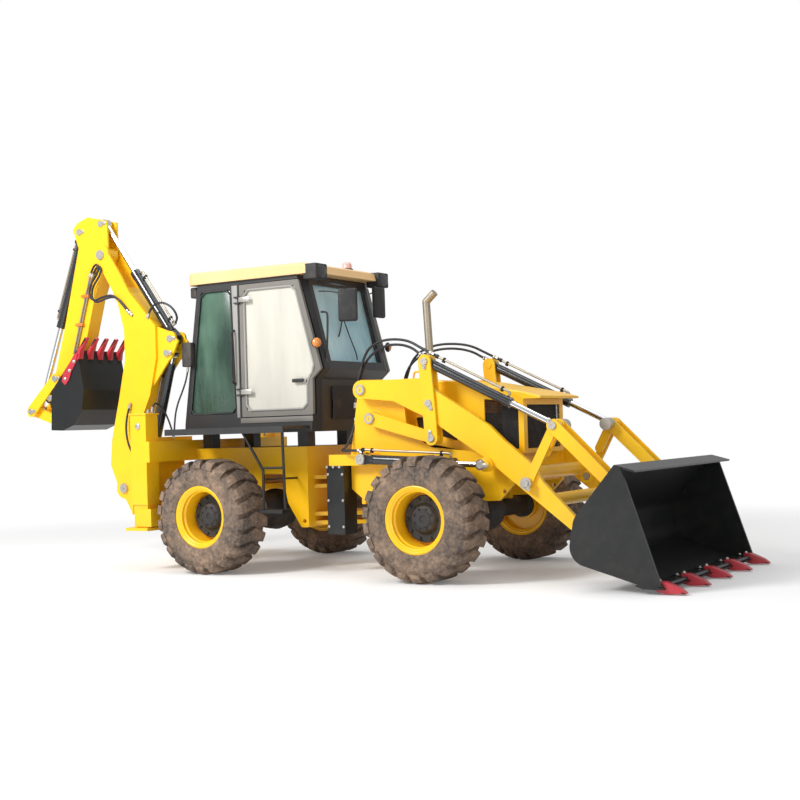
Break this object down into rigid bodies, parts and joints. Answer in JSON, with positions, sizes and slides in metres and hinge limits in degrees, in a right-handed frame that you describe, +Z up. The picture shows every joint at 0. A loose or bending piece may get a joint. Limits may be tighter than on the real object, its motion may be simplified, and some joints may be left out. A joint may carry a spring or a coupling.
{
  "type": "backhoe loader",
  "caption": "Articulated backhoe loader with a cab, a front loader on parallel-lift levers, and a side-shift backhoe folded behind.",
  "frame": {"origin": "on the ground, under the middle of the machine's bounding box", "axes": "+X forward, towards the loader bucket; +Y to the left; +Z up"},
  "size_m": [7.348, 2.368, 3.589],
  "materials": {
    "yellow_paint": "semi-gloss yellow enamel",
    "black_paint": "semi-gloss black enamel",
    "charcoal_paint": "satin charcoal enamel",
    "cylinder_paint": "gloss black enamel",
    "rod_chrome": "polished hard chrome",
    "tyre_rubber": "dusty black rubber",
    "roof_cream": "semi-gloss pale cream",
    "pipe_steel": "dull steel",
    "cast": "black painted casting",
    "seat_cover": "dark woven cover",
    "black_plastic": "matt black",
    "door_glass": "milky dusty glass",
    "pin_steel": "bright turned steel"
  },
  "bodies": {
    "rear": {"rear_side_plates": "yellow_paint", "rear_frame": "yellow_paint", "slide_frame": "yellow_paint", "rear_axle": "cast", "cab_frame": "charcoal_paint", "cab_roof": "roof_cream", "seat": "seat_cover", "controls": "black_plastic", "ladder": "black_paint"},
    "front": {"front_side_plates": "yellow_paint", "tower_pins": "yellow_paint", "side_shelves": "yellow_paint", "front_frame": "yellow_paint", "front_axle": "cast", "engine_block": "cast", "radiator": "black_plastic", "hood": "yellow_paint", "exhaust": "pipe_steel", "side_tank": "black_paint"},
    "wheel_front_right": {"tyre_front_right": "tyre_rubber", "rim_front_right": "yellow_paint"},
    "wheel_front_left": {"tyre_front_left": "tyre_rubber", "rim_front_left": "yellow_paint"},
    "wheel_rear_right": {"tyre_rear_right": "tyre_rubber", "rim_rear_right": "yellow_paint"},
    "wheel_rear_left": {"tyre_rear_left": "tyre_rubber", "rim_rear_left": "yellow_paint"},
    "arm": {"loader_arm": "yellow_paint"},
    "lower_links": {"lower_links": "yellow_paint"},
    "rear_levers": {"rear_levers": "yellow_paint"},
    "front_lever_pins": {"front_lever_pins": "pin_steel"},
    "front_levers": {"front_levers": "yellow_paint"},
    "link_pins": {"link_pins": "pin_steel"},
    "bucket_links": {"bucket_links": "yellow_paint"},
    "bucket_pins": {"bucket_pins": "pin_steel"},
    "bucket": {"loader_bucket": "black_paint"},
    "lift_barrels": {"lift_barrels": "cylinder_paint"},
    "lift_rods": {"lift_rods": "rod_chrome"},
    "tilt_barrels": {"tilt_barrels": "cylinder_paint"},
    "tilt_rods": {"tilt_rods": "rod_chrome"},
    "carriage": {"carriage": "yellow_paint"},
    "swing_post": {"swing_post": "yellow_paint"},
    "boom": {"boom": "yellow_paint"},
    "dipper": {"dipper": "yellow_paint"},
    "rocker": {"rocker": "yellow_paint"},
    "hoe_link": {"hoe_link": "yellow_paint"},
    "hoe_bucket": {"hoe_bucket": "black_paint"},
    "boom_barrel": {"boom_barrel": "cylinder_paint"},
    "boom_rod": {"boom_rod": "rod_chrome"},
    "dipper_barrel": {"dipper_barrel": "cylinder_paint"},
    "dipper_rod": {"dipper_rod": "rod_chrome"},
    "hoe_bucket_barrel": {"hoe_bucket_barrel": "cylinder_paint"},
    "hoe_bucket_rod": {"hoe_bucket_rod": "rod_chrome"},
    "leg_right": {"leg_right": "yellow_paint"},
    "leg_left": {"leg_left": "yellow_paint"},
    "door_right": {"door_right": "charcoal_paint", "door_glass_right": "door_glass"},
    "door_left": {"door_left": "charcoal_paint", "door_glass_left": "door_glass"}
  },
  "joints": [
    {"name": "steer", "type": "hinge", "parent": "rear", "child": "front", "pos_m": [0.195, 0, 0.645], "axis": [0, 0, 1], "range_deg": [-36, 36]},
    {"name": "wheel_front_right_spin", "type": "hinge", "parent": "front", "child": "wheel_front_right", "pos_m": [1.366, -0.979, 0.535], "axis": [0, 1, 0], "continuous": true},
    {"name": "wheel_front_left_spin", "type": "hinge", "parent": "front", "child": "wheel_front_left", "pos_m": [1.366, 0.979, 0.535], "axis": [0, 1, 0], "continuous": true},
    {"name": "wheel_rear_right_spin", "type": "hinge", "parent": "rear", "child": "wheel_rear_right", "pos_m": [-0.976, -0.979, 0.535], "axis": [0, 1, 0], "continuous": true},
    {"name": "wheel_rear_left_spin", "type": "hinge", "parent": "rear", "child": "wheel_rear_left", "pos_m": [-0.976, 0.979, 0.535], "axis": [0, 1, 0], "continuous": true},
    {"name": "loader_lift", "type": "hinge", "parent": "front", "child": "arm", "pos_m": [0.511, 0, 1.665], "axis": [0, -1, 0], "range_deg": [0, 68]},
    {"name": "lower_links_turn", "type": "hinge", "parent": "front", "child": "lower_links", "pos_m": [0.593, 0, 1.402], "axis": [0, -1, 0], "range_deg": [-2, 76]},
    {"name": "rear_levers_turn", "type": "hinge", "parent": "arm", "child": "rear_levers", "pos_m": [1.235, 0, 1.518], "axis": [0, -1, 0], "range_deg": [-64, 2]},
    {"name": "front_lever_pins_turn", "type": "hinge", "parent": "arm", "child": "front_lever_pins", "pos_m": [2.175, 0, 0.816], "axis": [0, -1, 0], "range_deg": [-46, 2]},
    {"name": "front_levers_turn", "type": "hinge", "parent": "front_lever_pins", "child": "front_levers", "pos_m": [2.175, 0, 0.816], "axis": [0, -1, 0], "range_deg": [-42, 43]},
    {"name": "link_pins_turn", "type": "hinge", "parent": "front_levers", "child": "link_pins", "pos_m": [2.433, 0, 1.291], "axis": [0, -1, 0], "range_deg": [-2, 46]},
    {"name": "bucket_links_turn", "type": "hinge", "parent": "link_pins", "child": "bucket_links", "pos_m": [2.433, 0, 1.291], "axis": [0, -1, 0], "range_deg": [-44, 43]},
    {"name": "bucket_pins_turn", "type": "hinge", "parent": "arm", "child": "bucket_pins", "pos_m": [2.67, 0, 0.4], "axis": [0, -1, 0], "range_deg": [-50, 2]},
    {"name": "bucket_tilt", "type": "hinge", "parent": "bucket_pins", "child": "bucket", "pos_m": [2.67, 0, 0.4], "axis": [0, -1, 0], "range_deg": [-45, 46]},
    {"name": "lift_barrels_turn", "type": "hinge", "parent": "front", "child": "lift_barrels", "pos_m": [0.58, 0, 1.039], "axis": [0, -1, 0], "range_deg": [-2, 62]},
    {"name": "lift_rods_slide", "type": "slide", "parent": "lift_barrels", "child": "lift_rods", "axis": [0.9987, 0, -0.0513], "range_m": [-0.01, 0.69]},
    {"name": "tilt_barrels_turn", "type": "hinge", "parent": "rear_levers", "child": "tilt_barrels", "pos_m": [1.206, 0, 1.886], "axis": [0, -1, 0], "range_deg": [-2, 57]},
    {"name": "tilt_rods_slide", "type": "slide", "parent": "tilt_barrels", "child": "tilt_rods", "axis": [0.8998, 0, -0.4363], "range_m": [-0.36, 0.36]},
    {"name": "side_shift", "type": "slide", "parent": "rear", "child": "carriage", "axis": [0, 1, 0], "range_m": [0, 1.28]},
    {"name": "swing", "type": "hinge", "parent": "carriage", "child": "swing_post", "pos_m": [-2.075, -0.64, 0.74], "axis": [0, 0, 1], "range_deg": [-90, 90]},
    {"name": "boom_turn", "type": "hinge", "parent": "swing_post", "child": "boom", "pos_m": [-2.28, -0.64, 0.785], "axis": [0, -1, 0], "range_deg": [0, 125]},
    {"name": "boom_barrel_turn", "type": "hinge", "parent": "swing_post", "child": "boom_barrel", "pos_m": [-2.005, -0.64, 1.13], "axis": [0, -1, 0], "range_deg": [-2, 130]},
    {"name": "boom_rod_slide", "type": "slide", "parent": "boom_barrel", "child": "boom_rod", "axis": [0.2856, 0, 0.9584], "range_m": [-0.01, 0.79]},
    {"name": "dipper_turn", "type": "hinge", "parent": "boom", "child": "dipper", "pos_m": [-2.562, -0.64, 3.176], "axis": [0, 1, 0], "range_deg": [0, 118]},
    {"name": "dipper_barrel_turn", "type": "hinge", "parent": "boom", "child": "dipper_barrel", "pos_m": [-1.675, -0.64, 2.262], "axis": [0, 1, 0], "range_deg": [-2, 6]},
    {"name": "dipper_rod_slide", "type": "slide", "parent": "dipper_barrel", "child": "dipper_rod", "axis": [-0.5891, 0, 0.8081], "range_m": [-0.565, 0.01]},
    {"name": "rocker_turn", "type": "hinge", "parent": "dipper", "child": "rocker", "pos_m": [-3.245, -0.64, 1.936], "axis": [0, 1, 0], "range_deg": [-2, 106]},
    {"name": "hoe_link_turn", "type": "hinge", "parent": "rocker", "child": "hoe_link", "pos_m": [-3.614, -0.64, 1.601], "axis": [0, 1, 0], "range_deg": [-20, 2]},
    {"name": "hoe_bucket_turn", "type": "hinge", "parent": "dipper", "child": "hoe_bucket", "pos_m": [-3.355, -0.64, 1.739], "axis": [0, 1, 0], "range_deg": [0, 165]},
    {"name": "hoe_bucket_barrel_turn", "type": "hinge", "parent": "dipper", "child": "hoe_bucket_barrel", "pos_m": [-2.887, -0.64, 3.447], "axis": [0, 1, 0], "range_deg": [-2, 11]},
    {"name": "hoe_bucket_rod_slide", "type": "slide", "parent": "hoe_bucket_barrel", "child": "hoe_bucket_rod", "axis": [-0.3664, 0, -0.9304], "range_m": [-0.765, 0.01]},
    {"name": "leg_right_slide", "type": "slide", "parent": "rear", "child": "leg_right", "axis": [0, 0, -1], "range_m": [0, 0.5]},
    {"name": "leg_left_slide", "type": "slide", "parent": "rear", "child": "leg_left", "axis": [0, 0, -1], "range_m": [0, 0.5]},
    {"name": "door_right_turn", "type": "hinge", "parent": "rear", "child": "door_right", "pos_m": [-0.877, -0.612, 2.1], "axis": [0, 0, -1], "range_deg": [0, 92]},
    {"name": "door_left_turn", "type": "hinge", "parent": "rear", "child": "door_left", "pos_m": [-0.877, 0.612, 2.1], "axis": [0, 0, 1], "range_deg": [0, 92]}
  ],
  "couplings": [
    {"joint": "lower_links_turn", "follows": "loader_lift", "ratio": 1.0727},
    {"joint": "rear_levers_turn", "follows": "loader_lift", "ratio": -0.9117},
    {"joint": "front_lever_pins_turn", "follows": "loader_lift", "ratio": -0.65},
    {"joint": "front_levers_turn", "follows": "bucket_tilt", "ratio": 0.89},
    {"joint": "link_pins_turn", "follows": "loader_lift", "ratio": 0.645},
    {"joint": "bucket_links_turn", "follows": "bucket_tilt", "ratio": -0.915},
    {"joint": "bucket_pins_turn", "follows": "loader_lift", "ratio": -0.71},
    {"joint": "lift_barrels_turn", "follows": "loader_lift", "ratio": 0.88},
    {"joint": "lift_rods_slide", "follows": "loader_lift", "m_per_rad": 0.57},
    {"joint": "tilt_barrels_turn", "follows": "loader_lift", "ratio": 0.8085},
    {"joint": "tilt_rods_slide", "follows": "bucket_tilt", "m_per_rad": -0.445},
    {"joint": "boom_barrel_turn", "follows": "boom_turn", "ratio": 1.019},
    {"joint": "boom_rod_slide", "follows": "boom_turn", "m_per_rad": 0.3575},
    {"joint": "dipper_barrel_turn", "follows": "dipper_turn", "ratio": 0.04},
    {"joint": "dipper_rod_slide", "follows": "dipper_turn", "m_per_rad": -0.2714},
    {"joint": "rocker_turn", "follows": "hoe_bucket_turn", "ratio": 0.63},
    {"joint": "hoe_link_turn", "follows": "hoe_bucket_turn", "ratio": -0.11},
    {"joint": "hoe_bucket_barrel_turn", "follows": "hoe_bucket_turn", "ratio": 0.06},
    {"joint": "hoe_bucket_rod_slide", "follows": "hoe_bucket_turn", "m_per_rad": -0.262}
  ]
}
